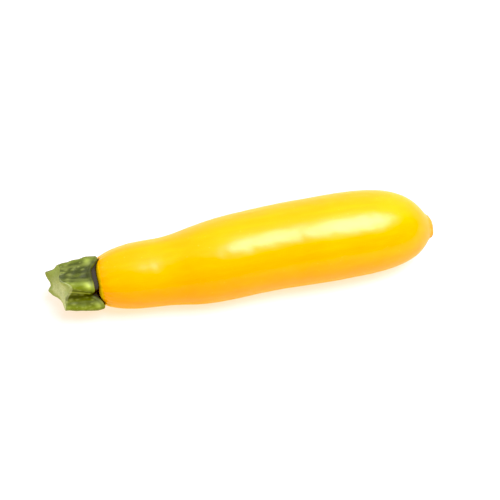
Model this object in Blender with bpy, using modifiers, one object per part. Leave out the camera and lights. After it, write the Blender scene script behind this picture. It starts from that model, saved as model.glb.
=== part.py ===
"""A yellow zucchini lying on a level surface: the fruit, and its short cut stem with five lobes.

Metres, +Z up. The long axis runs along X, from the stem at -X to the blossom end at +X. The lengths in the
tables below are in millimetres. "along" counts from where the fruit shows past the stem, towards the
blossom end.
"""

import bpy
import numpy as np

MM = 0.001

# The fruit's outline: (along, radius). The last rows are the button that the flower left.
FRUIT_OUTLINE = (
    (-1.0, 0.0),
    (-1.0, 4.0),
    (-0.9, 7.2),
    (-0.3, 9.5),
    (1.0, 11.3),
    (3.2, 12.6),
    (6.8, 14.0),
    (11.2, 15.1),
    (17.0, 16.0),
    (24.0, 16.4),
    (31.0, 16.6),
    (38.8, 17.5),
    (46.6, 18.9),
    (54.5, 19.9),
    (62.5, 20.4),
    (74.8, 20.6),
    (91.0, 20.9),
    (107.0, 21.25),
    (115.0, 21.35),
    (123.4, 21.25),
    (131.6, 21.0),
    (139.5, 20.3),
    (146.0, 19.1),
    (152.5, 17.0),
    (157.2, 14.6),
    (160.8, 11.7),
    (163.3, 8.9),
    (164.7, 7.1),
    (165.6, 6.2),
    (166.4, 5.6),
    (167.1, 4.9),
    (167.5, 3.7),
    (167.7, 2.0),
    (167.5, 0.0),
)
# Rows of faces made between two neighbours of that table.
FRUIT_ROWS = 2
FRUIT_SIDES = 60
# The centreline: (along, sideways, height). The neck rises off the surface and the tip droops a little.
CENTRELINE = (
    (-26.0, 0.6, 17.4),
    (0.0, 0.2, 17.6),
    (20.0, 0.0, 17.6),
    (35.0, -0.6, 17.9),
    (50.0, -0.9, 19.0),
    (60.0, -0.7, 19.9),
    (75.0, 0.2, 20.25),
    (93.0, 0.7, 20.6),
    (112.0, 0.3, 20.95),
    (130.0, 0.6, 20.7),
    (140.0, 0.7, 20.3),
    (150.0, 0.6, 19.6),
    (160.0, 0.35, 18.3),
    (170.0, -0.4, 16.4),
)
# Five soft ribs, high at the stem end and gone by the blossom end, and ten fainter ones.
RIB_HEIGHT = 0.22
FINE_RIB_HEIGHT = 0.09
RIB_ANGLE = 30.0
RIBS_END = 150.0

# The stem's five ridges: (angle at the foot, angle at the cut, how far the foot reaches over the fruit,
# crest height as a share). An angle of 0 points to -Y and 90 to +Z.
STEM_RIDGES = (
    (-25.0, -17.0, 1.0, 0.98),
    (38.0, 51.0, -2.8, 0.95),
    (116.0, 125.0, 1.0, 0.94),
    (172.0, 181.0, 0.2, 0.95),
    (240.0, 234.0, 0.6, 0.86),
)
# The groove after each ridge: (how far its foot reaches, radius as a share, how wide the feet before it and
# after it are as a share of the spacing).
STEM_GROOVES = (
    (-4.4, 0.97, 0.88, 0.6),
    (-3.1, 1.13, 0.58, 0.58),
    (-4.0, 1.06, 0.55, 0.55),
    (-4.8, 1.0, 0.55, 0.55),
    (-4.8, 1.0, 0.5, 0.36),
)
# Along a ridge and along a groove: (distance back from the fruit's start, radius).
RIDGE_OUTLINE = (
    (-2.0, 13.7),
    (1.0, 14.2),
    (4.0, 14.3),
    (8.0, 13.8),
    (12.0, 13.2),
    (16.0, 12.5),
    (20.0, 11.9),
    (26.0, 11.2),
)
GROOVE_OUTLINE = ((3.0, 10.2), (6.0, 10.0), (10.0, 9.6), (14.0, 9.2), (18.0, 8.9), (26.0, 8.4))
# Underneath, round this angle, the stem is hollowed by this share of its groove's radius.
HOLLOW_ANGLE = 290.0
HOLLOW = 0.2
# How wide the ridges are, as a share of their spacing: along the stem, and near the feet.
RIDGE_WIDTH = 0.44
FOOT_WIDTH = 0.62
# The slanting cut: its distance back at the rim, (angle, back), and in its middle.
CUT_RIM = (
    (-17.0, 17.9),
    (17.0, 16.8),
    (34.0, 15.2),
    (50.0, 14.8),
    (66.0, 18.4),
    (80.0, 18.7),
    (94.0, 18.0),
    (125.0, 18.2),
    (153.0, 22.4),
    (181.0, 24.8),
    (207.0, 23.2),
    (220.0, 23.2),
    (234.0, 24.6),
    (248.0, 23.2),
    (265.0, 21.4),
    (295.0, 19.6),
)
CUT_MIDDLE = 19.9
# The face's slopes towards the far side and upwards, before it turns to meet its rim.
CUT_SLOPES = (0.34, -0.22)
CUT_HOLLOW = 0.5
CUT_EDGE = 0.5
STEM_SIDES = 80
STEM_SIDE_ROWS = 13
# The stem meets the fruit over a round seat, with a thin gap. Past the seat it follows the fruit for this
# share of the way to its lip, and there its lobes stand clear of the fruit.
SEAT_GAP = 0.35
SEAT_RADIUS = 7.0
HUG_TO = 0.6
LOBE_GAP = 0.7
LIP = 1.1

COLOURS = {"fruit": "#F7BE12", "stem": "#6E8A32"}
ROUGHNESS = {"fruit": 0.32, "stem": 0.55}


def linear(hex_colour):
    """The linear colour of an sRGB hex."""
    parts = [int(hex_colour[i : i + 2], 16) / 255 for i in (1, 3, 5)]
    return [p / 12.92 if p <= 0.04045 else ((p + 0.055) / 1.055) ** 2.4 for p in parts] + [1.0]


def smooth(table, at):
    """A smooth curve through the rows of a table, read by its first column."""
    table = np.array(table, float)
    x, values = table[:, 0], table[:, 1:]
    slope = np.gradient(values, x, axis=0)
    at = np.clip(at, x[0], x[-1])
    i = np.clip(np.searchsorted(x, at, side="right") - 1, 0, len(x) - 2)
    step = x[i + 1] - x[i]
    u = (at - x[i]) / step
    step, u = step[:, None], u[:, None]
    return (
        (2 * u**3 - 3 * u**2 + 1) * values[i]
        + (u**3 - 2 * u**2 + u) * step * slope[i]
        + (3 * u**2 - 2 * u**3) * values[i + 1]
        + (u**3 - u**2) * step * slope[i + 1]
    )


def along_curve(points, rows):
    """A smooth curve through the points, with this many steps between two of them."""
    points = np.array(points, float)
    length = np.r_[0, np.cumsum(np.hypot(*np.diff(points, axis=0).T))]
    at = np.interp(np.arange((len(points) - 1) * rows + 1) / rows, np.arange(len(points)), length)
    return smooth(np.c_[length, points], at)


def clear_scene():
    for obj in list(bpy.data.objects):
        bpy.data.objects.remove(obj)


def turned(name, outline, sides):
    """The closed shape that the outline (height, radius) makes when it turns round Z, as a mesh."""
    points = [(radius, 0.0, height) for height, radius in outline]
    mesh = bpy.data.meshes.new(name + "_outline")
    mesh.from_pydata(points, [(i, i + 1) for i in range(len(points) - 1)], [])
    helper = bpy.data.objects.new(name + "_outline", mesh)
    bpy.context.scene.collection.objects.link(helper)
    screw = helper.modifiers.new("turn", "SCREW")
    screw.axis = "Z"
    screw.steps = screw.render_steps = sides
    screw.use_merge_vertices = True
    screw.merge_threshold = 0.0001
    bpy.context.view_layer.update()
    graph = bpy.context.evaluated_depsgraph_get()
    made = bpy.data.meshes.new_from_object(helper.evaluated_get(graph))
    made.name = name
    bpy.data.objects.remove(helper)
    return made


def coordinates(mesh):
    found = np.empty(len(mesh.vertices) * 3)
    mesh.vertices.foreach_get("co", found)
    return found.reshape(-1, 3)


def finished(name, mesh, points, home):
    """The object with these points, given in millimetres as (along, sideways, height)."""
    mesh.vertices.foreach_set("co", (points * MM).ravel())
    mesh.update()
    mesh.shade_smooth()
    mesh.set_sharp_from_angle(angle=np.radians(40))
    material = bpy.data.materials.new(name + "_colour")
    material.use_nodes = True
    shader = material.node_tree.nodes["Principled BSDF"]
    shader.inputs["Base Color"].default_value = linear(COLOURS[name])
    shader.inputs["Roughness"].default_value = ROUGHNESS[name]
    shader.inputs["Metallic"].default_value = 0.0
    mesh.materials.clear()
    mesh.materials.append(material)
    obj = bpy.data.objects.new(name, mesh)
    home.objects.link(obj)
    return obj


def on_centreline(along, angle, radius):
    """Points at this angle and radius round the centreline, no lower than the surface below."""
    middle = smooth(CENTRELINE, along)
    points = np.c_[along, middle[:, 0] - radius * np.cos(angle), middle[:, 1] + radius * np.sin(angle)]
    points[:, 2] = np.maximum(points[:, 2], 0.0)
    return points


def fruit_points(turned_points):
    """The turned fruit with its ribs, bent onto the centreline, with the flat strip that it lies on."""
    along = turned_points[:, 2]
    radius = np.hypot(turned_points[:, 0], turned_points[:, 1])
    angle = np.arctan2(turned_points[:, 1], -turned_points[:, 0])
    fade = np.clip(1 - along / RIBS_END, 0, 1) * np.clip(radius / 12, 0, 1) ** 2
    turn = angle - np.radians(RIB_ANGLE)
    radius = radius + fade * (RIB_HEIGHT * np.cos(5 * turn) + FINE_RIB_HEIGHT * np.cos(10 * turn))
    return on_centreline(along, angle, radius)


def ridges_at(angle, share):
    """At each angle: how far the nearest crest is (0 on it, 1 in a groove), the ridge and the groove there.

    The share is 0 at the feet and 1 at the cut.
    """
    foot, cut = np.array(STEM_RIDGES).T[:2]
    crest = np.radians(foot + np.outer(share, cut - foot))
    after = np.roll(crest, -1, axis=1)
    after[:, -1] += 2 * np.pi
    half = (after - crest) / 2
    turn = (angle[:, None] - crest + np.pi) % (2 * np.pi) - np.pi
    away = np.abs(turn) / np.where(turn > 0, half, np.roll(half, 1, axis=1))
    ridge = away.argmin(axis=1)
    past = turn[np.arange(len(ridge)), ridge] > 0
    return away.min(axis=1), ridge, np.where(past, ridge, ridge - 1)


def rounded(away, width, power=2.6):
    """A ridge's cross-section: 1 on the crest, falling to 0 in the groove."""
    bell = np.exp(-((away / width) ** power))
    low = np.exp(-((1 / width) ** power))
    return (bell - low) / (1 - low)


def step_up(value, low, high):
    """0 below low, 1 above high, and a smooth rise between them."""
    share = np.clip((value - low) / (high - low), 0, 1)
    return share * share * (3 - 2 * share)


def dome_along(radius):
    """How far along the fruit its stem end reaches this radius."""
    end = np.array(FRUIT_OUTLINE[:9])
    return np.interp(radius, end[:, 1], end[:, 0])


def cut_rim(angle):
    """How far back the cut lies at the rim, smoothly all the way round."""
    rim = np.array(CUT_RIM)
    table = np.concatenate([rim[-3:] - [360, 0], rim, rim[:3] + [360, 0]])
    return smooth(table, (np.degrees(angle) - rim[0, 0]) % 360 + rim[0, 0])[:, 0]


def stem_rows():
    """(kind, share) of each row of the stem, from the middle of its underside to that of its cut face."""
    seat = [("seat", share) for share in (0.0, 0.5, 1.0)]
    under = [("under", share) for share in (0.3, 0.6, 0.8, 1.0)]
    lip = [("lip", share) for share in (0.33, 0.66)]
    side = [("side", share) for share in np.linspace(0, 1, STEM_SIDE_ROWS + 1)]
    face = [("face", share) for share in (1.0, 0.75, 0.45, 0.2, 0.0)]
    return seat + under + lip + side + face


def stem_outer(back, angle, away, crest_share, groove_share):
    """The stem's radius at this distance back, between its ridge and groove outlines."""
    width = FOOT_WIDTH + (RIDGE_WIDTH - FOOT_WIDTH) * np.clip(back / 8, 0, 1)
    crest = smooth(RIDGE_OUTLINE, back)[:, 0] * crest_share
    hollow = HOLLOW * np.exp(6 * (np.cos(angle - np.radians(HOLLOW_ANGLE)) - 1))
    groove = smooth(GROOVE_OUTLINE, back)[:, 0] * groove_share * (1 - hollow)
    return groove + rounded(away, width) * (crest - groove)


def stem_points(kinds, shares, angle):
    """Where each point of the stem lies, from its row and its angle round the centreline."""
    along_share = np.select([kinds == "side", kinds == "face"], [shares, 1.0], 0.0)
    away, ridge, groove = ridges_at(angle, along_share)
    reach, crest_share = np.array(STEM_RIDGES).T[2:, ridge]
    groove_foot, groove_share, width_before, width_after = np.array(STEM_GROOVES).T[:, groove]
    shape = (angle, away, crest_share, groove_share)
    toe = rounded(away, np.where(ridge == groove % 5, width_before, width_after), 3.0)
    foot = groove_foot + toe * (reach - groove_foot)
    end = cut_rim(angle)
    rim = stem_outer(end, *shape) - CUT_EDGE
    side_start = -foot + LIP
    side_back = side_start + shares * (end - CUT_EDGE * 0.5 - side_start)
    start_radius = stem_outer(side_start, *shape)
    lip_radius = start_radius - LIP
    seat_along = dome_along(shares * SEAT_RADIUS) - SEAT_GAP
    clear = np.minimum(dome_along(lip_radius) - LOBE_GAP, foot)
    under_radius = SEAT_RADIUS + shares * (lip_radius - SEAT_RADIUS)
    hug = dome_along(under_radius) - SEAT_GAP - (LOBE_GAP - SEAT_GAP) * shares
    under_along = hug + step_up(shares, HUG_TO, 1.0) * (np.minimum(clear, hug) - hug)
    turn = shares * np.pi / 2
    lip_along = clear - (clear + side_start) * (1 - np.cos(turn))
    lip_out = lip_radius + (start_radius - lip_radius) * np.sin(turn)
    slope = rim * (CUT_SLOPES[0] * -np.cos(angle) + CUT_SLOPES[1] * np.sin(angle))
    turned_up = (end - CUT_MIDDLE - slope) * shares**3
    face_along = CUT_HOLLOW * (1 - shares**2) - (CUT_MIDDLE + shares * slope + turned_up)
    side_out = stem_outer(side_back, *shape)
    kind = [kinds == "seat", kinds == "under", kinds == "lip", kinds == "side"]
    along = np.select(kind, [seat_along, under_along, lip_along, -side_back], face_along)
    radius = np.select(kind, [shares * SEAT_RADIUS, under_radius, lip_out, side_out], shares * rim)
    return on_centreline(along, angle, radius)


def make_fruit(home):
    outline = along_curve(FRUIT_OUTLINE, FRUIT_ROWS)[::-1]
    outline[[0, -1], 1] = 0.0
    mesh = turned("fruit", outline * MM, FRUIT_SIDES)
    return finished("fruit", mesh, fruit_points(coordinates(mesh) / MM), home)


def make_stem(home):
    """A turned shape whose rows are numbered by their height, then moved to the stem's own form."""
    rows = stem_rows()
    count = len(rows)
    numbers = np.arange(count)[::-1]
    outline = np.c_[numbers, np.where((numbers == 0) | (numbers == count - 1), 0.0, 5.0)]
    mesh = turned("stem", outline * MM, STEM_SIDES)
    found = coordinates(mesh) / MM
    row = count - 1 - np.rint(found[:, 2]).astype(int)
    angle = np.arctan2(found[:, 1], -found[:, 0])
    kinds = np.array([kind for kind, _ in rows])[row]
    shares = np.array([share for _, share in rows])[row]
    return finished("stem", mesh, stem_points(kinds, shares, angle), home)


def centred(objects):
    """Moves the meshes so that the middle of their shared box stands over the origin."""
    ends = np.concatenate([coordinates(obj.data) for obj in objects])
    middle = (ends.min(axis=0) + ends.max(axis=0)) / 2
    middle[2] = 0.0
    for obj in objects:
        obj.data.vertices.foreach_set("co", (coordinates(obj.data) - middle).ravel())
        obj.data.update()


def main():
    clear_scene()
    home = bpy.data.collections.new("yellow_zucchini")
    bpy.context.scene.collection.children.link(home)
    centred([make_fruit(home), make_stem(home)])


main()
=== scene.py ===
"""The looks of a yellow zucchini lying on a white surface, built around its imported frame.

Two pieces: fruit_skin stands for the node fruit, and stem_skin for the node stem. Lengths in the tables
are in millimetres and angles in degrees. "along" counts from where the fruit shows past the stem, towards
the blossom end. An angle round the fruit of 0 points to -Y, the camera's side, and 90 points up.
"""

import bpy
import numpy as np
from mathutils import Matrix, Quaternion, Vector


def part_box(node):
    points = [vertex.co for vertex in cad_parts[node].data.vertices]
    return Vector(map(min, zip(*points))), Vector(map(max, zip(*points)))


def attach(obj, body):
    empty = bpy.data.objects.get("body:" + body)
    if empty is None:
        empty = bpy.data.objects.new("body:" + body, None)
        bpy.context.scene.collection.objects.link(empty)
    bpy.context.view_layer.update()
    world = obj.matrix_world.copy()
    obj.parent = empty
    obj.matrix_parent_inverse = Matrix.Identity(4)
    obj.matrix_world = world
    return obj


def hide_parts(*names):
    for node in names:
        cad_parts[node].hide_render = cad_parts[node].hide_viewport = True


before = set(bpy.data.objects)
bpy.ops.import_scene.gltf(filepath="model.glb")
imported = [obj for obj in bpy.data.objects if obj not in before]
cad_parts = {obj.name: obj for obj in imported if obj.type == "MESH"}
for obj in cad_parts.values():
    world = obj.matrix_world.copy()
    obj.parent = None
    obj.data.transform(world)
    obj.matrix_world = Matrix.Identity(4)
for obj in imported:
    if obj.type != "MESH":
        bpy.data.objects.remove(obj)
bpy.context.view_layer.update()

MM = 0.001
SEED = 7

# The fruit's outline, as in the frame: (along, radius). The last rows are the button that the flower
# left.
FRUIT_OUTLINE = (
    (-1.0, 0.0),
    (-1.0, 4.0),
    (-0.9, 7.2),
    (-0.3, 9.5),
    (1.0, 11.3),
    (3.2, 12.6),
    (6.8, 14.0),
    (11.2, 15.1),
    (17.0, 16.0),
    (24.0, 16.4),
    (31.0, 16.6),
    (38.8, 17.5),
    (46.6, 18.9),
    (54.5, 19.9),
    (62.5, 20.4),
    (74.8, 20.6),
    (91.0, 20.9),
    (107.0, 21.25),
    (115.0, 21.35),
    (123.4, 21.25),
    (131.6, 21.0),
    (139.5, 20.3),
    (146.0, 19.1),
    (152.5, 17.0),
    (157.2, 14.6),
    (160.8, 11.7),
    (163.3, 8.9),
    (164.7, 7.1),
    (165.6, 6.2),
    (166.4, 5.6),
    (167.1, 4.9),
    (167.5, 3.7),
    (167.7, 2.0),
    (167.5, 0.0),
)
# The centreline: (along, sideways, height).
CENTRELINE = (
    (-26.0, 0.6, 17.4),
    (0.0, 0.2, 17.6),
    (20.0, 0.0, 17.6),
    (35.0, -0.6, 17.9),
    (50.0, -0.9, 19.0),
    (60.0, -0.7, 19.9),
    (75.0, 0.2, 20.25),
    (93.0, 0.7, 20.6),
    (112.0, 0.3, 20.95),
    (130.0, 0.6, 20.7),
    (140.0, 0.7, 20.3),
    (150.0, 0.6, 19.6),
    (160.0, 0.35, 18.3),
    (170.0, -0.4, 16.4),
)
RIB_HEIGHT = 0.22
FINE_RIB_HEIGHT = 0.09
RIB_ANGLE = 30.0
RIBS_END = 150.0
# The ribs grow to their full height by this radius, and the waves and dimples of the skin by the next.
RIB_RADIUS = 12.0
BODY_RADIUS = 14.0
# Rows of the fine skin over the stem end, the body and the blossom end, and points in each row.
STEM_END_ROWS = 56
BODY_ROWS = 205
BLOSSOM_END_ROWS = 46
FRUIT_SIDES = 320
STEM_END_TO = 8
BLOSSOM_END_FROM = 26
# Growth leaves long soft waves in the skin and small dimples: (height, length).
SOFT_WAVES = (0.10, 34.0)
DIMPLES = (0.034, 6.0)
# Puckers round the stem: height, how many, and the radius and width of the ring that they lie in.
PUCKER_HEIGHT = 0.12
PUCKERS = 25
PUCKER_RING = (11.0, 2.0)
# The scar at the blossom end: where it begins and is full along the fruit, its cork's (height, length),
# the height of its five-rayed star, and the radii over which the cork and the star rise from the middle.
SCAR = (164.9, 166.1)
SCAR_BUMPS = (0.10, 1.3)
SCAR_STAR = 0.15
SCAR_RISE = (2.0, 4.0)
# The tip turns darker and more orange between these places along the fruit: partly its own colour, partly
# painted shade where less light falls on that end.
TIP = (150.0, 165.0)

# The stem's five ridges, as in the frame: (angle at the foot, angle at the cut, reach over the fruit,
# height as a share).
STEM_RIDGES = (
    (-25.0, -17.0, 1.0, 0.98),
    (38.0, 51.0, -2.8, 0.95),
    (116.0, 125.0, 1.0, 0.94),
    (172.0, 181.0, 0.2, 0.95),
    (240.0, 234.0, 0.6, 0.86),
)
# The groove after each ridge: (reach of its foot, radius as a share, width of the feet before it, after
# it).
STEM_GROOVES = (
    (-4.4, 0.97, 0.88, 0.6),
    (-3.1, 1.13, 0.58, 0.58),
    (-4.0, 1.06, 0.55, 0.55),
    (-4.8, 1.0, 0.55, 0.55),
    (-4.8, 1.0, 0.5, 0.36),
)
# Along a ridge and along a groove: (distance back from the fruit's start, radius).
RIDGE_OUTLINE = (
    (-2.0, 13.7),
    (1.0, 14.2),
    (4.0, 14.3),
    (8.0, 13.8),
    (12.0, 13.2),
    (16.0, 12.5),
    (20.0, 11.9),
    (26.0, 11.2),
)
GROOVE_OUTLINE = ((3.0, 10.2), (6.0, 10.0), (10.0, 9.6), (14.0, 9.2), (18.0, 8.9), (26.0, 8.4))
HOLLOW_ANGLE = 290.0
HOLLOW = 0.2
# How wide the ridges are, as a share of their spacing: along the stem, and near the feet.
RIDGE_WIDTH = 0.44
FOOT_WIDTH = 0.62
CUT_RIM = (
    (-17.0, 17.9),
    (17.0, 16.8),
    (34.0, 15.2),
    (50.0, 14.8),
    (66.0, 18.4),
    (80.0, 18.7),
    (94.0, 18.0),
    (125.0, 18.2),
    (153.0, 22.4),
    (181.0, 24.8),
    (207.0, 23.2),
    (220.0, 23.2),
    (234.0, 24.6),
    (248.0, 23.2),
    (265.0, 21.4),
    (295.0, 19.6),
)
CUT_MIDDLE = 19.9
CUT_SLOPES = (0.34, -0.22)
CUT_HOLLOW = 0.5
CUT_EDGE = 0.5
# The stem has grown onto the fruit, so here no gap shows between them up to this share of the way to the
# lip.
SEAT_GAP = 0.05
SEAT_RADIUS = 7.0
HUG_TO = 0.35
LOBE_GAP = 0.7
LIP = 1.1
STEM_SIDES = 500
STEM_ROWS = {"seat": 6, "under": 30, "lip": 12, "side": 110, "face": 40}
# The stem's skin has fine fibres along it, which wander, and soft lumps: (height, how many), (how much,
# over what length) and (height, length). This detail fades in over a share of the stem's side.
FIBRES = (0.03, 61)
FIBRE_WANDER = (1.5, 14.0)
LUMPS = (0.14, 5.0)
FADE_IN = 0.12
# Each flank of a ridge has a raised edge: its place between crest and groove, its width as a share, how
# strong it is on each ridge, its share on the side past the crest, and its height. The edge's paler colour
# is partly the rind's own and partly a painted highlight.
FLANK = 0.49
FLANK_WIDTH = 0.09
FLANKS = (0.4, 1.0, 0.3, 0.5, 0.5)
FLANK_PAST = 0.2
FLANK_HEIGHT = 0.28
# Small warts: how many, their sizes, how much longer than wide they are, and their height.
WARTS = 130
WART_SIZES = (0.25, 0.75)
WART_STRETCH = 1.8
WART_HEIGHT = 0.11
# The cut is torn a little: (height, length, share of its radius over which this grows). A ring of fibre
# bundles stands in it, (radius and width as shares, how many, height), and the pith sinks: (depth, and
# the shares of the radius over which it rises again).
TEAR = (0.09, 1.9, 0.3)
BUNDLES = (0.62, 0.07, 20, 0.12)
PITH = (0.7, 0.15, 0.5)
# Each ridge's crest: how wide its pale colour is, and how pale. The pale is the rind's own colour, but set
# weaker on the top ridge, as painted shade where the light falls most, and wider on the lowest ridge, as
# painted light where it lies in shade.
CRESTS = ((0.42, 1.0), (0.34, 1.0), (0.34, 0.65), (0.34, 0.8), (0.34, 0.8))
# The cut turns to green rind over this share of its radius, but not round this angle.
RIND = (0.45, 1.0)
PALE_RIM_ANGLE = -20.0
# Round this angle the cut's pale flesh shows over the stem's side: over this share of its length, from
# here at the least, with an edge this soft, and this strong.
PEEL_ANGLE = 34.0
PEEL = 0.14
PEEL_TO = 0.985
PEEL_EDGE = 0.7
PEEL_SHARE = 0.45
# The cut turns greener in this direction, to the far side and up, over this distance.
CUT_UP = (0.0, 0.75, 0.65)
CUT_GREEN = (10.0, 19.0)
# Each ridge has a small knob near its foot, whose paler colour is a painted highlight: (how far back, how
# far across the ridge as a share, how high), and for all how long and how wide.
KNOBS = (
    (2.0, 0.4, 0.35),
    (5.9, 0.12, 0.5),
    (4.3, -0.35, 0.27),
    (4.5, 0.0, 0.25),
    (4.5, 0.0, 0.1),
)
KNOB_LENGTH = 1.8
KNOB_WIDTH = 0.18
# The grooves are painted darker near the fruit, as painted shade, up to this far back from the lip. On a
# crest that is shorter and fainter by these shares.
DARK_FOOT = 6.0
CREST_FOOT = (0.8, 0.6)

# How far the dark collar under the stem reaches over the fruit: its radius under each lobe, and after
# each lobe. The collar is partly the fruit's own dark tissue and partly painted shade in the gap under the
# lobes.
COLLAR_LOBES = (11.4, 8.6, 12.0, 12.0, 12.0)
COLLAR_BETWEEN = (6.4, 6.0, 7.0, 7.6, 7.6)
COLLAR_EDGE = 0.25
# Round the collar the skin is a clearer yellow, up to this radius: partly its own colour, partly painted
# light that lifts the dome where the stem's lobes shade it.
RING = (10.6, 11.8)

CAMERA_AZIMUTH = -12.4
CAMERA_ELEVATION = 50.0
CAMERA_DISTANCE = 684.2
CAMERA_TARGET = (4.15, 3.25, 17.7)
CAMERA_LENS = 100.0
# The softbox overhead: its middle, its size, its turn about its axis, and its brightness beside a white
# of 1.
SOFTBOX_MIDDLE = (370.0, -265.0, 1000.0)
SOFTBOX_SIZE = (665.0, 705.0)
SOFTBOX_TURN = 14.0
SOFTBOX_BRIGHTNESS = 13.5
# The table's own colour, the painted glow that the camera sees on it, and the warmer glow that it throws
# on things, as linear colours beside a white of 1.
TABLE_COLOUR = (0.26, 0.31, 0.46, 1.0)
TABLE_GLOW = (0.90, 0.72, 0.52, 1.0)
TABLE_BOUNCE = (0.90, 0.72, 0.02, 1.0)
# Away from the softbox the painted glow turns from warm to white, between these distances from the fruit.
# Its warmth near the fruit is painted bounce light.
TABLE_WHITE = (400.0, 1500.0)
# The table is a disc, and its top lies a hair below the fruit.
TABLE_RADIUS = 6000.0
TABLE_DROP = 0.05
# The room: a warm dim side and a white side, as linear colours, which way the white side lies, and how far
# along that direction the one turns into the other.
ROOM_DIM = (0.30, 0.20, 0.08, 1.0)
ROOM_WHITE = (0.9, 0.9, 0.9, 1.0)
ROOM_TOWARDS = (-0.35, 0.94, 0.0)
ROOM_TURN = (-0.7, 0.2)
# The picture is graded as a studio prints one: what is darker than this prints black.
BLACK_LEVEL = 0.033

# Settings that many nodes share.
COLOURS = {"data_type": "RGBA"}
SMOOTH = {"interpolation_type": "SMOOTHSTEP"}
TIMES = {"operation": "MULTIPLY"}
LARGER = {"operation": "MAXIMUM"}


def linear(hex_colour):
    """The linear colour of an sRGB hex."""
    parts = [int(hex_colour[i : i + 2], 16) / 255 for i in (1, 3, 5)]
    return [p / 12.92 if p <= 0.04045 else ((p + 0.055) / 1.055) ** 2.4 for p in parts] + [1.0]


def smooth(table, at):
    """A smooth curve through a table's rows, read by its first column: cubics with mean slopes."""
    table = np.array(table, float)
    x, values = table[:, 0], table[:, 1:]
    slope = np.gradient(values, x, axis=0)
    at = np.clip(at, x[0], x[-1])
    i = np.clip(np.searchsorted(x, at, side="right") - 1, 0, len(x) - 2)
    step = x[i + 1] - x[i]
    u = (at - x[i]) / step
    step, u = step[..., None], u[..., None]
    return (
        (2 * u**3 - 3 * u**2 + 1) * values[i]
        + (u**3 - 2 * u**2 + u) * step * slope[i]
        + (3 * u**2 - 2 * u**3) * values[i + 1]
        + (u**3 - u**2) * step * slope[i + 1]
    )


def ripple(points, length, seed, count=40):
    """Smooth random waves of this length, mostly within -1 to 1: a sum of cosines in random directions."""
    rng = np.random.default_rng(seed)
    direction = rng.normal(size=(count, 3))
    direction /= np.linalg.norm(direction, axis=1)[:, None]
    rate = 2 * np.pi / length * rng.uniform(0.75, 1.35, count)
    phase = points @ (direction * rate[:, None]).T + rng.uniform(0, 2 * np.pi, count)
    return np.cos(phase).sum(axis=-1) / np.sqrt(2 * count)


def step_up(value, low, high):
    """0 below low, 1 above high, and a smooth rise between them."""
    share = np.clip((value - low) / (high - low), 0, 1)
    return share * share * (3 - 2 * share)


def round_angle(angle, middle, sharpness=6.0):
    """1 at the middle angle, in degrees, falling along a bell curve on both sides of it."""
    return np.exp(sharpness * (np.cos(angle - np.radians(middle)) - 1))


def on_centreline(along, angle, radius):
    """Points at this angle and radius round the centreline, no lower than the surface below."""
    middle = smooth(CENTRELINE, along)
    sideways = middle[..., 0] - radius * np.cos(angle)
    height = np.maximum(middle[..., 1] + radius * np.sin(angle), 0.0)
    return np.stack([along, sideways, height], axis=-1)


def outline_curve():
    """The fruit's outline by the distance along its curve: rows of (distance, along, radius)."""
    points = np.array(FRUIT_OUTLINE)
    distance = np.r_[0, np.cumsum(np.hypot(*np.diff(points, axis=0).T))]
    return np.c_[distance, points]


def dome_along(radius):
    """How far along the fruit its stem end reaches this radius."""
    curve = outline_curve()[:10]
    fine = smooth(curve, np.linspace(curve[0, 0], curve[-1, 0], 200))
    return np.interp(radius, fine[:, 1], fine[:, 0])


def ridges_at(angle, share):
    """At each angle: how far the nearest crest is (0 on it, 1 in a groove), and the ridge and groove there.

    The share is 0 at the feet and 1 at the cut, and each crest turns steadily from its foot angle to its
    cut angle.
    """
    foot, cut = np.array(STEM_RIDGES).T[:2]
    crest = np.radians(foot + share[..., None] * (cut - foot))
    after = np.roll(crest, -1, axis=-1)
    after[..., -1] += 2 * np.pi
    half = (after - crest) / 2
    turn = (angle[..., None] - crest + np.pi) % (2 * np.pi) - np.pi
    away = np.abs(turn) / np.where(turn > 0, half, np.roll(half, 1, axis=-1))
    ridge = away.argmin(axis=-1)
    past = np.take_along_axis(turn, ridge[..., None], axis=-1)[..., 0] > 0
    return away.min(axis=-1), ridge, np.where(past, ridge, ridge - 1)


def rounded(away, width, power=2.6):
    """A ridge's cross-section: 1 on the crest, falling along a bell curve to 0 in the groove."""
    bell = np.exp(-((away / width) ** power))
    low = np.exp(-((1 / width) ** power))
    return (bell - low) / (1 - low)


def cut_rim(angle):
    """How far back the cut lies at the rim, smoothly all the way round."""
    rim = np.array(CUT_RIM)
    table = np.concatenate([rim[-3:] - [360, 0], rim, rim[:3] + [360, 0]])
    return smooth(table, (np.degrees(angle) - rim[0, 0]) % 360 + rim[0, 0])[..., 0]


def stem_outer(back, angle, away, crest_share, groove_share):
    """The stem's radius at this distance back: the groove outline, and the ridge outline on a crest."""
    width = FOOT_WIDTH + (RIDGE_WIDTH - FOOT_WIDTH) * np.clip(back / 8, 0, 1)
    crest = smooth(RIDGE_OUTLINE, back)[..., 0] * crest_share
    hollow = HOLLOW * round_angle(angle, HOLLOW_ANGLE)
    groove = smooth(GROOVE_OUTLINE, back)[..., 0] * groove_share * (1 - hollow)
    return groove + rounded(away, width) * (crest - groove)


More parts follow.
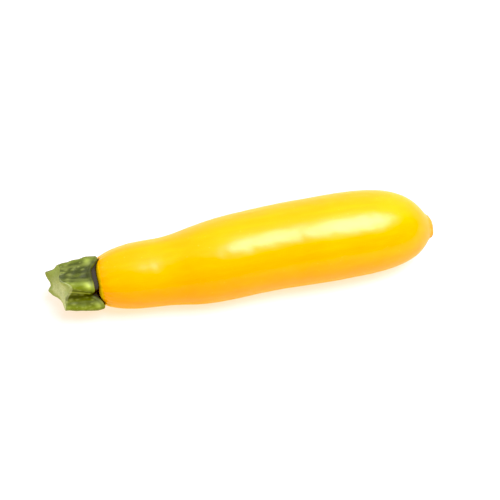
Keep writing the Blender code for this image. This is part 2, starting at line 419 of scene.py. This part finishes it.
def closed_skin(name, points, fields):
    """A closed mesh from rows of points, each once round, whose first and last rows shrink to a pole each.

    The fields are numbers for each point, such as how dark the collar is there, and become point
    attributes.
    """
    rows, sides = points.shape[:2]
    vertices = np.concatenate([points[0, :1], points[1:-1].reshape(-1, 3), points[-1, :1]]) * MM
    index = 1 + np.arange((rows - 2) * sides).reshape(rows - 2, sides)
    after = np.roll(index, -1, axis=1)
    quads = np.stack([index[:-1], index[1:], after[1:], after[:-1]], axis=-1).reshape(-1, 4)
    last = len(vertices) - 1
    first_fan = np.stack([np.zeros(sides, int), index[0], after[0]], axis=-1)
    last_fan = np.stack([np.full(sides, last), after[-1], index[-1]], axis=-1)
    mesh = bpy.data.meshes.new(name)
    mesh.from_pydata(vertices.tolist(), [], first_fan.tolist() + quads.tolist() + last_fan.tolist())
    for field, values in fields.items():
        numbers = np.concatenate([values[0, :1], values[1:-1].ravel(), values[-1, :1]])
        mesh.attributes.new(field, "FLOAT", "POINT").data.foreach_set("value", numbers.astype(np.float32))
    mesh.shade_smooth()
    obj = bpy.data.objects.new(name, mesh)
    bpy.context.scene.collection.objects.link(obj)
    return obj


def collar_radius(angle):
    """How far the dark collar, partly painted shade, reaches: least in the grooves, and farther under each
    lobe's bell curve.
    """
    away, ridge, groove = ridges_at(angle, np.zeros_like(angle))
    lobe, between = np.array(COLLAR_LOBES)[ridge], np.array(COLLAR_BETWEEN)[groove]
    return between + rounded(away, FOOT_WIDTH) * (lobe - between)


def fruit_grid():
    """(along, radius, angle) of the fine skin's points: rows along the outline, denser over the ends."""
    curve = outline_curve()
    ends = [0.0, curve[STEM_END_TO, 0], curve[BLOSSOM_END_FROM, 0], curve[-1, 0]]
    counts = (STEM_END_ROWS, BODY_ROWS, BLOSSOM_END_ROWS)
    runs = [np.linspace(a, b, n, endpoint=False) for a, b, n in zip(ends, ends[1:], counts)]
    along, radius = smooth(curve, np.r_[np.concatenate(runs), ends[-1]]).T
    radius[[0, -1]] = 0.0
    angle = np.linspace(0, 2 * np.pi, FRUIT_SIDES, endpoint=False)
    shape = (len(along), FRUIT_SIDES)
    return (
        np.broadcast_to(along[:, None], shape),
        np.broadcast_to(radius[:, None], shape),
        np.broadcast_to(angle, shape),
    )


def make_fruit_skin():
    """The outline's radius, with ribs that fade to the blossom end, waves, dimples, puckers and a scar.

    Ribs are cosines of 5 and 10 times the angle, puckers a cosine of 25 times it inside a bell-shaped
    ring, the scar's star a cosine of 5 times it, and waves, dimples and the scar's cork are sums of
    random cosines. All is bent onto the centreline.
    """
    along, radius, angle = fruit_grid()
    plain = on_centreline(along, angle, radius)
    turn = angle - np.radians(RIB_ANGLE)
    ribs = np.clip(1 - along / RIBS_END, 0, 1) * np.clip(radius / RIB_RADIUS, 0, 1) ** 2
    ribs = ribs * (RIB_HEIGHT * np.cos(5 * turn) + FINE_RIB_HEIGHT * np.cos(10 * turn))
    body = np.clip(radius / BODY_RADIUS, 0, 1) ** 3
    waves = body * SOFT_WAVES[0] * ripple(plain, SOFT_WAVES[1], SEED)
    dimples = body * DIMPLES[0] * ripple(plain, DIMPLES[1], SEED + 1)
    ring = np.exp(-(((radius - PUCKER_RING[0]) / PUCKER_RING[1]) ** 2)) * (along < RIBS_END / 2)
    puckers = PUCKER_HEIGHT * ring * np.cos(PUCKERS * angle + 2 * np.sin(3 * angle))
    scar = step_up(along, *SCAR)
    cork_rise, star_rise = np.clip(radius / np.array(SCAR_RISE)[:, None, None], 0, 1)
    cork = scar * SCAR_BUMPS[0] * ripple(plain, SCAR_BUMPS[1], SEED + 2)
    star = scar * SCAR_STAR * np.cos(5 * angle) * star_rise
    new_radius = radius + ribs + waves + dimples + puckers + (cork + star) * cork_rise
    points = on_centreline(along + cork, angle, np.where(radius > 0, new_radius, 0.0))
    # The dark collar is partly the fruit's own dark tissue and partly painted shade under the stem's lobes.
    collar_and_shade = 1 - step_up(radius - collar_radius(angle), -COLLAR_EDGE, COLLAR_EDGE)
    near_stem = (along < RIBS_END / 2).astype(float)
    fields = {
        "collar_and_shade": collar_and_shade * near_stem,
        # The clearer yellow ring round the stem is partly painted light on the shaded dome.
        "ring": (1 - step_up(radius, *RING)) * near_stem,
        "scar": scar,
        # The tip's darker orange is partly painted shade.
        "tip": step_up(along, *TIP),
    }
    return closed_skin("fruit_skin", points, fields)


def stem_grid():
    """(kind, share, angle) of the stem's points: rows from the middle underneath to that of the cut."""
    shares = {kind: np.linspace(0, 1, count + 1) for kind, count in STEM_ROWS.items()}
    shares["under"] = shares["under"][1:]
    shares["lip"] = shares["lip"][1:-1]
    shares["face"] = shares["face"][::-1]
    kinds = np.concatenate([[kind] * len(share) for kind, share in shares.items()])
    angle = np.linspace(0, 2 * np.pi, STEM_SIDES, endpoint=False)
    shape = (len(kinds), STEM_SIDES)
    return (
        np.broadcast_to(kinds[:, None], shape),
        np.broadcast_to(np.concatenate(list(shares.values()))[:, None], shape),
        np.broadcast_to(angle, shape),
    )


def stem_wart_field(points, places):
    """How much of a wart each point is, 0 to 1: the highest of long bell-shaped bumps at random places."""
    rng = np.random.default_rng(SEED + 5)
    longer = np.array([WART_STRETCH, 1.0, 1.0])
    centres = places[rng.integers(0, len(places), WARTS)] / longer
    size = rng.uniform(*WART_SIZES, WARTS)
    flat = points.reshape(-1, 3) / longer
    square = (flat**2).sum(1)[:, None] + (centres**2).sum(1) - 2 * flat @ centres.T
    return np.exp(-np.maximum(square, 0) / size**2).max(axis=1).reshape(points.shape[:2])


def stem_shape(kinds, shares, angle):
    """(along, radius) of each point of the stem, without fine detail, and where it lies on its ridge.

    That is how far across it is, from -1 to 1, which ridge, and how far back. Side points follow the
    ridge and groove outlines from the feet to the slanting cut. Underneath, the surface follows the
    fruit's dome and then rises to the lip. The face is a plane through the cut's middle that turns up to
    meet its rim.
    """
    along_share = np.select([kinds == "side", kinds == "face"], [shares, 1.0], 0.0)
    away, ridge, groove = ridges_at(angle, along_share)
    reach, crest_share = np.array(STEM_RIDGES).T[2:, ridge]
    groove_foot, groove_share, width_before, width_after = np.array(STEM_GROOVES).T[:, groove]
    shape = (angle, away, crest_share, groove_share)
    toe = rounded(away, np.where(ridge == groove % 5, width_before, width_after), 3.0)
    foot = groove_foot + toe * (reach - groove_foot)
    end = cut_rim(angle)
    rim = stem_outer(end, *shape) - CUT_EDGE
    side_start = -foot + LIP
    side_back = side_start + shares * (end - CUT_EDGE * 0.5 - side_start)
    start_radius = stem_outer(side_start, *shape)
    lip_radius = start_radius - LIP
    seat_along = dome_along(shares * SEAT_RADIUS) - SEAT_GAP
    clear = np.minimum(dome_along(lip_radius) - LOBE_GAP, foot)
    under_radius = SEAT_RADIUS + shares * (lip_radius - SEAT_RADIUS)
    hug = dome_along(under_radius) - SEAT_GAP
    under_along = hug + step_up(shares, HUG_TO, 1.0) * (np.minimum(clear, hug) - hug)
    turn = shares * np.pi / 2
    lip_along = clear - (clear + side_start) * (1 - np.cos(turn))
    lip_out = lip_radius + (start_radius - lip_radius) * np.sin(turn)
    slope = rim * (CUT_SLOPES[0] * -np.cos(angle) + CUT_SLOPES[1] * np.sin(angle))
    turned_up = (end - CUT_MIDDLE - slope) * shares**3
    face_along = CUT_HOLLOW * (1 - shares**2) - (CUT_MIDDLE + shares * slope + turned_up)
    side_out = stem_outer(side_back, *shape)
    kind = [kinds == "seat", kinds == "under", kinds == "lip", kinds == "side"]
    along = np.select(kind, [seat_along, under_along, lip_along, -side_back], face_along)
    radius = np.select(kind, [shares * SEAT_RADIUS, under_radius, lip_out, side_out], shares * rim)
    back = np.where(kinds == "side", side_back, side_start)
    return along, radius, np.where(ridge == groove % 5, away, -away), ridge, back


def make_stem_skin():
    """The stem's shape with fibres, raised flank edges and warts on its side, and a torn, ringed cut."""
    kinds, shares, angle = stem_grid()
    along, radius, across, ridge, back = stem_shape(kinds, shares, angle)
    away = np.abs(across)
    side = (kinds == "side").astype(float)
    face = (kinds == "face").astype(float)
    plain = on_centreline(along, angle, radius)
    ease = side * step_up(shares, 0.0, FADE_IN)
    wander = FIBRE_WANDER[0] * ripple(plain, FIBRE_WANDER[1], SEED + 3)
    fibres = FIBRES[0] * np.cos(FIBRES[1] * angle + wander)
    flank = ease * np.array(FLANKS)[ridge] * np.where(across > 0, FLANK_PAST, 1.0)
    flank = flank * np.exp(-(((away - FLANK) / FLANK_WIDTH) ** 2))
    warts = stem_wart_field(plain, plain[kinds == "side"]) * ease
    lumps = LUMPS[0] * ripple(plain, LUMPS[1], SEED + 4)
    knob_back, knob_across, knob_height = np.array(KNOBS).T[:, ridge]
    knob = np.exp(-(((back - knob_back) / KNOB_LENGTH) ** 2) - ((across - knob_across) / KNOB_WIDTH) ** 2)
    knob = knob_height * knob * (face == 0)
    # Crest paleness per ridge: own colour, with painted shade on the top ridge and painted light on the
    # lowest.
    crest_width, crest_pale = np.array(CRESTS).T[:, ridge]
    crest = rounded(away, crest_width)
    # Painted shade: the grooves darken towards the fruit, less so on the crests.
    dark_to = DARK_FOOT * (1 - CREST_FOOT[0] * crest)
    foot = (1 - step_up(back - back.min(axis=0), 0.0, dark_to)) * (1 - CREST_FOOT[1] * crest)
    out = ease * (fibres + lumps + knob) + FLANK_HEIGHT * flank + WART_HEIGHT * warts
    tear = face * TEAR[0] * ripple(plain, TEAR[1], SEED + 6) * step_up(shares, 0.0, TEAR[2])
    ring_radius, ring_width, bundle_count, bundle_height = BUNDLES
    ring = face * np.exp(-(((shares - ring_radius) / ring_width) ** 2))
    bundles = bundle_height * ring * (1 + np.cos(bundle_count * angle))
    pith = face * PITH[0] * (1 - step_up(shares, *PITH[1:]))
    points = on_centreline(along - tear - bundles + pith, angle, np.where(radius > 0, radius + out, 0.0))
    peel = round_angle(angle, PEEL_ANGLE)
    peel_length = PEEL * peel
    peeled = step_up(shares, PEEL_TO - peel_length, 1.0 - PEEL_EDGE * peel_length)
    rind = face * step_up(shares, *RIND) * (1 - round_angle(angle, PALE_RIM_ANGLE, 2.5))
    fields = {
        "ridge": crest * crest_pale,
        "knob": 2 * knob,
        "foot": foot * (face == 0),
        # flank: the raised edges' pale colour, partly own colour and partly a painted highlight.
        "flank": flank,
        "wart": warts,
        "cut": face + PEEL_SHARE * peel * side * peeled,
        "rind": rind,
        "cut_up": face * step_up(plain @ CUT_UP, *CUT_GREEN),
        # The underside is painted near black: partly its own dark tissue, partly painted shade in the gap.
        "under": ((kinds == "seat") | (kinds == "under")).astype(float),
        "bundle": ring,
    }
    return closed_skin("stem_skin", points, fields)


def place_on(piece, node):
    """Moves the piece's mesh along X and Y so that its box's middle lies over that of the node's box."""
    low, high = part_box(node)
    count = len(piece.data.vertices)
    points = np.empty(count * 3)
    piece.data.vertices.foreach_get("co", points)
    points = points.reshape(-1, 3)
    middle = (points.min(axis=0) + points.max(axis=0)) / 2
    shift = (np.array(low) + np.array(high)) / 2 - middle
    shift[2] = 0.0
    piece.data.vertices.foreach_set("co", (points + shift).ravel())
    piece.data.update()


def add(tree, kind, out=0, settings=None, **inputs):
    """Adds a node and gives its output socket: sets its properties, then sets or links its inputs.

    An input is named with underscores for spaces, or i and its number.
    """
    node = tree.nodes.new(kind)
    for key, value in (settings or {}).items():
        setattr(node, key, value)
    for key, value in inputs.items():
        socket = node.inputs[int(key[1:]) if key[1:].isdigit() else key.replace("_", " ")]
        if isinstance(value, bpy.types.NodeSocket):
            tree.links.new(value, socket)
        else:
            socket.default_value = value
    return node.outputs[out]


def new_material(name):
    """An empty node material: (material, tree, its Principled shader)."""
    material = bpy.data.materials.new(name)
    material.use_nodes = True
    return material, material.node_tree, material.node_tree.nodes["Principled BSDF"]


def waxy_zucchini_skin():
    """Zucchini skin, grown smooth: a cuticle of wax over yellow cells, which light enters a little.

    The eye sees a saturated yellow with a soft, even gloss, faint lengthwise streaks and tiny pale pores,
    a clearer yellow ring at the stem that is partly painted light, a dark collar there that is partly
    painted shade, a tip painted darker and more orange, partly as painted shade, and a corky scar at the
    other end.
    """
    material, tree, shader = new_material("waxy_zucchini_skin")
    place = add(tree, "ShaderNodeTexCoord", "Object")
    along = add(tree, "ShaderNodeMapping", 0, None, Vector=place, Scale=(0.08, 1.0, 1.0))
    collar_and_shade, ring, scar, tip = (
        add(tree, "ShaderNodeAttribute", "Fac", {"attribute_name": name})
        for name in ("collar_and_shade", "ring", "scar", "tip")
    )
    clouds = add(tree, "ShaderNodeTexNoise", 0, None, Vector=place, Scale=1 / (24 * MM), Detail=2.0)
    clouds = add(tree, "ShaderNodeMapRange", 0, SMOOTH, i0=clouds, i1=0.3, i2=0.7)
    colour = add(tree, "ShaderNodeMix", 2, COLOURS, i0=clouds, i6=linear("#F39F00"), i7=linear("#F4A400"))
    streaks = add(tree, "ShaderNodeTexNoise", 0, None, Vector=along, Scale=1 / (2.6 * MM), Detail=1.0)
    pale_streaks = add(tree, "ShaderNodeMapRange", 0, SMOOTH, i0=streaks, i1=0.4, i2=0.8, i4=0.3)
    colour = add(tree, "ShaderNodeMix", 2, COLOURS, i0=pale_streaks, i6=colour, i7=linear("#F6B004"))
    pores = add(tree, "ShaderNodeTexVoronoi", 0, None, Vector=place, Scale=1 / (3.2 * MM))
    pores = add(tree, "ShaderNodeMapRange", 0, SMOOTH, i0=pores, i1=0.05, i2=0.12, i3=0.25, i4=0.0)
    colour = add(tree, "ShaderNodeMix", 2, COLOURS, i0=pores, i6=colour, i7=linear("#FBD25A"))
    # Partly painted shade: the tip is painted darker and more orange, where less light falls.
    tip_and_shade_share = add(tree, "ShaderNodeMath", 0, TIMES, i0=tip, i1=0.85)
    colour = add(tree, "ShaderNodeMix", 2, COLOURS, i0=tip_and_shade_share, i6=colour, i7=linear("#EA9410"))
    # Partly painted light: the clearer yellow ring brightens the dome that the stem's lobes shade.
    ring_and_light_share = add(tree, "ShaderNodeMath", 0, TIMES, i0=ring, i1=0.75)
    colour = add(tree, "ShaderNodeMix", 2, COLOURS, i0=ring_and_light_share, i6=colour, i7=linear("#FFE000"))
    # Dark collar: partly the fruit's own tissue, partly painted shade under the stem; below, it also loses
    # its gloss.
    colour = add(tree, "ShaderNodeMix", 2, COLOURS, i0=collar_and_shade, i6=colour, i7=linear("#746848"))
    cork = add(tree, "ShaderNodeTexNoise", 0, None, Vector=place, Scale=1 / (0.9 * MM), Detail=4.0)
    cork = add(tree, "ShaderNodeMapRange", 0, SMOOTH, i0=cork, i1=0.35, i2=0.7)
    cork = add(tree, "ShaderNodeMix", 2, COLOURS, i0=cork, i6=linear("#D49A3E"), i7=linear("#AE9048"))
    scar_share = add(tree, "ShaderNodeMath", 0, TIMES, i0=scar, i1=0.8)
    colour = add(tree, "ShaderNodeMix", 2, COLOURS, i0=scar_share, i6=colour, i7=cork)
    tree.links.new(colour, shader.inputs["Base Color"])
    dull = add(tree, "ShaderNodeMath", 0, LARGER, i0=scar_share, i1=collar_and_shade)
    rough = add(tree, "ShaderNodeMapRange", 0, SMOOTH, i0=dull, i3=0.3, i4=1.0)
    tree.links.new(rough, shader.inputs["Roughness"])
    gloss = add(tree, "ShaderNodeMapRange", 0, SMOOTH, i0=collar_and_shade, i3=0.5, i4=0.0)
    tree.links.new(gloss, shader.inputs["Specular IOR Level"])
    fine = add(tree, "ShaderNodeTexNoise", 0, None, Vector=place, Scale=1 / (0.7 * MM), Detail=3.0)
    bump = add(tree, "ShaderNodeBump", 0, None, Strength=0.25, Distance=0.05 * MM, Height=fine)
    tree.links.new(bump, shader.inputs["Normal"])
    shader.inputs["IOR"].default_value = 1.5
    shader.inputs["Subsurface Weight"].default_value = 0.12
    shader.inputs["Subsurface Radius"].default_value = (1.0, 0.45, 0.05)
    shader.inputs["Subsurface Scale"].default_value = 3.0 * MM
    return material


def ribbed_green_stem():
    """A squash stem: tough ribbed rind, waxy and warty, green over pale fibres, cut across with a knife.

    The eye sees dark olive grooves with painted shade near the fruit, lighter crests that pale at their
    feet with a painted highlight on a knob, pale edges that are partly a painted highlight, pale specks, a
    near-black underside that is partly painted shade, and a dull cut that is greener on its upper side.
    """
    material, tree, shader = new_material("ribbed_green_stem")
    place = add(tree, "ShaderNodeTexCoord", "Object")
    along = add(tree, "ShaderNodeMapping", 0, None, Vector=place, Scale=(0.25, 1.0, 1.0))
    ridge, knob, foot, flank, wart, cut, rind, cut_up, under, bundle = (
        add(tree, "ShaderNodeAttribute", "Fac", {"attribute_name": name})
        for name in ("ridge", "knob", "foot", "flank", "wart", "cut", "rind", "cut_up", "under", "bundle")
    )
    crest = add(tree, "ShaderNodeMapRange", 0, SMOOTH, i0=ridge, i1=0.1, i2=0.95)
    green = add(tree, "ShaderNodeMix", 2, COLOURS, i0=crest, i6=linear("#3A411C"), i7=linear("#6C7A28"))
    blotches = add(tree, "ShaderNodeTexNoise", 0, None, Vector=along, Scale=1 / (2.4 * MM), Detail=3.0)
    blotches = add(tree, "ShaderNodeMapRange", 0, SMOOTH, i0=blotches, i1=0.42, i2=0.75, i4=0.4)
    green = add(tree, "ShaderNodeMix", 2, COLOURS, i0=blotches, i6=green, i7=linear("#7B8832"))
    # Painted highlight on each ridge's knob.
    green = add(tree, "ShaderNodeMix", 2, COLOURS, i0=knob, i6=green, i7=linear("#ACBC58"))
    # Painted shade near the fruit, which also dulls the surface.
    foot_shade_share = add(tree, "ShaderNodeMath", 0, TIMES, i0=foot, i1=0.5)
    green = add(tree, "ShaderNodeMix", 2, COLOURS, i0=foot_shade_share, i6=green, i7=linear("#34381E"))
    # Raised flank edges: pale colour, partly own and partly a painted highlight.
    green = add(tree, "ShaderNodeMix", 2, COLOURS, i0=flank, i6=green, i7=linear("#98A450"))
    wart_share = add(tree, "ShaderNodeMath", 0, TIMES, i0=wart, i1=0.35)
    green = add(tree, "ShaderNodeMix", 2, COLOURS, i0=wart_share, i6=green, i7=linear("#A0AA58"))
    fibre = add(tree, "ShaderNodeTexNoise", 0, None, Vector=place, Scale=1 / (0.8 * MM), Detail=4.0)
    fibres = add(tree, "ShaderNodeMapRange", 0, SMOOTH, i0=fibre, i1=0.35, i2=0.7)
    pale = add(tree, "ShaderNodeMix", 2, COLOURS, i0=fibres, i6=linear("#C0C896"), i7=linear("#D6DCAC"))
    bundle_share = add(tree, "ShaderNodeMath", 0, TIMES, i0=bundle, i1=0.5)
    pale = add(tree, "ShaderNodeMix", 2, COLOURS, i0=bundle_share, i6=pale, i7=linear("#D8DAAA"))
    pale = add(tree, "ShaderNodeMix", 2, COLOURS, i0=cut_up, i6=pale, i7=linear("#9AA66C"))
    pale = add(tree, "ShaderNodeMix", 2, COLOURS, i0=rind, i6=pale, i7=linear("#98A65E"))
    colour = add(tree, "ShaderNodeMix", 2, COLOURS, i0=cut, i6=green, i7=pale)
    # Near-black underside: partly the dark tissue where stem meets fruit, partly painted shade in the gap.
    colour = add(tree, "ShaderNodeMix", 2, COLOURS, i0=under, i6=colour, i7=linear("#42403E"))
    tree.links.new(colour, shader.inputs["Base Color"])
    dull = add(tree, "ShaderNodeMath", 0, LARGER, i0=cut, i1=under)
    dull = add(tree, "ShaderNodeMath", 0, LARGER, i0=dull, i1=foot_shade_share)
    rough = add(tree, "ShaderNodeMapRange", 0, SMOOTH, i0=dull, i3=0.48, i4=0.95)
    tree.links.new(rough, shader.inputs["Roughness"])
    gloss = add(tree, "ShaderNodeMapRange", 0, SMOOTH, i0=under, i3=0.5, i4=0.0)
    tree.links.new(gloss, shader.inputs["Specular IOR Level"])
    bump = add(tree, "ShaderNodeBump", 0, None, Strength=0.5, Distance=0.12 * MM, Height=fibre)
    tree.links.new(bump, shader.inputs["Normal"])
    shader.inputs["IOR"].default_value = 1.45
    return material


def table_with_painted_glow():
    """A matt table with a painted glow, warm near the fruit and white farther off, so that its shadows stay
    pale.
    """
    material, tree, shader = new_material("table_with_painted_glow")
    shader.inputs["Base Color"].default_value = TABLE_COLOUR
    shader.inputs["Roughness"].default_value = 0.9
    shader.inputs["Specular IOR Level"].default_value = 0.0
    place = add(tree, "ShaderNodeTexCoord", "Object")
    # Painted glow: warm near the fruit, white farther off, and yellower towards all rays but the camera's.
    far = add(tree, "ShaderNodeVectorMath", "Value", {"operation": "LENGTH"}, i0=place)
    near, white = np.array(TABLE_WHITE) * MM
    far = add(tree, "ShaderNodeMapRange", 0, SMOOTH, i0=far, i1=near, i2=white)
    glow = add(tree, "ShaderNodeMix", 2, COLOURS, i0=far, i6=TABLE_GLOW, i7=(1.0, 1.0, 1.0, 1.0))
    seen = add(tree, "ShaderNodeLightPath", "Is Camera Ray")
    glow = add(tree, "ShaderNodeMix", 2, COLOURS, i0=seen, i6=TABLE_BOUNCE, i7=glow)
    tree.links.new(glow, shader.inputs["Emission Color"])
    shader.inputs["Emission Strength"].default_value = 1.0
    return material


def make_floor():
    at = (0, 0, -TABLE_DROP * MM)
    bpy.ops.mesh.primitive_circle_add(vertices=96, radius=TABLE_RADIUS * MM, fill_type="NGON", location=at)
    floor = bpy.context.object
    floor.name = "floor"
    floor.data.materials.append(table_with_painted_glow())


def make_lights():
    """One large softbox overhead, and a room that is white behind and dim on the camera's side."""
    size = np.array(SOFTBOX_SIZE) * MM
    light = bpy.data.lights.new("softbox", "AREA")
    light.shape = "RECTANGLE"
    light.size, light.size_y = size
    light.energy = SOFTBOX_BRIGHTNESS * np.pi * size.prod()
    obj = bpy.data.objects.new("softbox", light)
    obj.location = Vector(SOFTBOX_MIDDLE) * MM
    aim = (-obj.location).to_track_quat("-Z", "Y")
    obj.rotation_euler = (aim @ Quaternion((0, 0, 1), np.radians(SOFTBOX_TURN))).to_euler()
    bpy.context.scene.collection.objects.link(obj)
    world = bpy.data.worlds.new("studio")
    bpy.context.scene.world = world
    world.use_nodes = True
    tree = world.node_tree
    direction = add(tree, "ShaderNodeTexCoord", "Generated")
    dot = {"operation": "DOT_PRODUCT"}
    share = add(tree, "ShaderNodeVectorMath", "Value", dot, i0=direction, i1=ROOM_TOWARDS)
    share = add(tree, "ShaderNodeMapRange", 0, SMOOTH, i0=share, i1=ROOM_TURN[0], i2=ROOM_TURN[1])
    room = add(tree, "ShaderNodeMix", 2, COLOURS, i0=share, i6=ROOM_DIM, i7=ROOM_WHITE)
    seen = add(tree, "ShaderNodeLightPath", "Is Camera Ray")
    room = add(tree, "ShaderNodeMix", 2, COLOURS, i0=seen, i6=room, i7=(1.0, 1.0, 1.0, 1.0))
    tree.links.new(room, tree.nodes["Background"].inputs["Color"])


def make_camera():
    azimuth, elevation = np.radians([CAMERA_AZIMUTH, CAMERA_ELEVATION])
    level = Vector((np.sin(azimuth), -np.cos(azimuth), 0.0))
    back = level * np.cos(elevation) + Vector((0.0, 0.0, np.sin(elevation)))
    data = bpy.data.cameras.new("camera")
    data.lens = CAMERA_LENS
    data.sensor_width = 36.0
    data.clip_start, data.clip_end = 0.01, 50.0
    camera = bpy.data.objects.new("camera", data)
    camera.location = (Vector(CAMERA_TARGET) + CAMERA_DISTANCE * back) * MM
    camera.rotation_euler = (-back).to_track_quat("-Z", "Y").to_euler()
    bpy.context.scene.collection.objects.link(camera)
    bpy.context.scene.camera = camera


def dress(piece, node, material):
    """Places the piece, gives it its material, and lets it stand for the node on the frame's one body."""
    place_on(piece, node)
    piece.data.materials.append(material)
    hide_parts(node)
    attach(piece, "root")


def grade_picture():
    view = bpy.context.scene.view_settings
    view.view_transform = "Standard"
    view.use_curve_mapping = True
    view.curve_mapping.black_level = (BLACK_LEVEL,) * 3
    view.curve_mapping.update()


def main():
    dress(make_fruit_skin(), "fruit", waxy_zucchini_skin())
    dress(make_stem_skin(), "stem", ribbed_green_stem())
    make_floor()
    make_lights()
    make_camera()
    grade_picture()


main()
